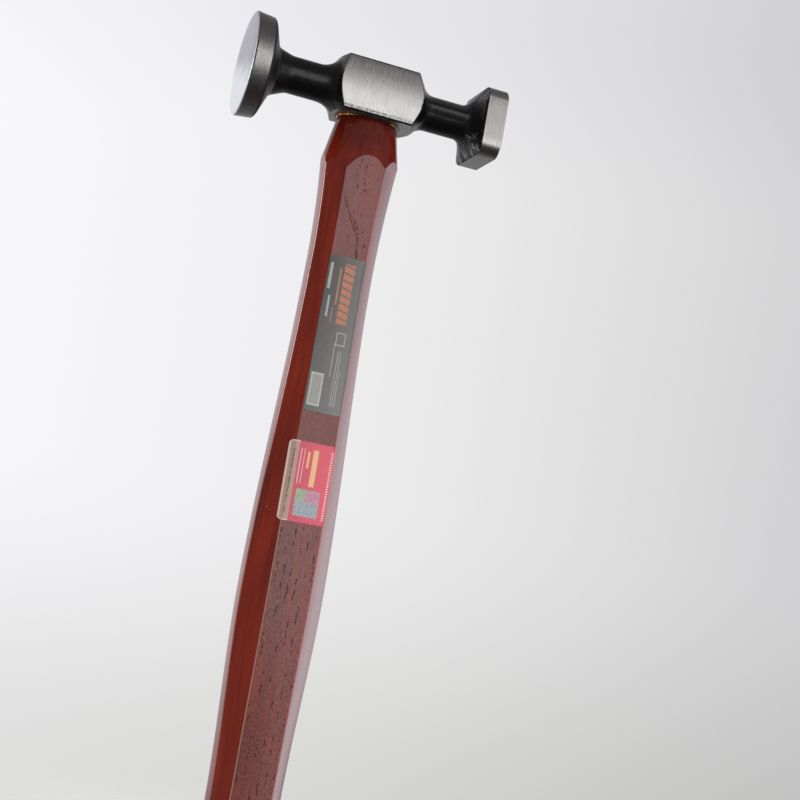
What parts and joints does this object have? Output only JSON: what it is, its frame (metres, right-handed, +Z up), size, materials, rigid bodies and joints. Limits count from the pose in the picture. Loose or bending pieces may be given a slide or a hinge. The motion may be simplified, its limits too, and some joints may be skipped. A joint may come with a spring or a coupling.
{
  "type": "two-faced hammer",
  "caption": "Small hammer for leather and sheet work, with a round face, a square face and an eight-sided lacquered wooden handle wedged in its eye.",
  "frame": {"origin": "middle of the hammer's bounding box, at its lowest height, which is the flat butt of the handle", "axes": "+Z up along the handle to the head, +X along the head towards the square face, -Y out of the cheek that the labels are under"},
  "size_m": [0.1027, 0.0396, 0.3273],
  "materials": {
    "forged_steel": "ground satin on the faces, rims and cheeks, glossy black lacquer on the necks, fillets and backs",
    "lacquered_wood": "red-brown stain with open dark pores under glossy clear lacquer",
    "wedge_wood": "bare cut end grain, slightly soaked with lacquer",
    "wedge_steel": "dull mild steel, hammered over",
    "amber_resin": "glossy amber",
    "grey_film": "smooth satin film",
    "red_film": "smooth glossy film"
  },
  "bodies": {
    "root": {"hammer_head": "forged_steel", "handle": "lacquered_wood", "wooden_wedge": "wedge_wood", "steel_wedge_1": "wedge_steel", "steel_wedge_2": "wedge_steel", "resin_bead": "amber_resin", "grey_label": "grey_film", "red_label": "red_film"}
  },
  "joints": []
}
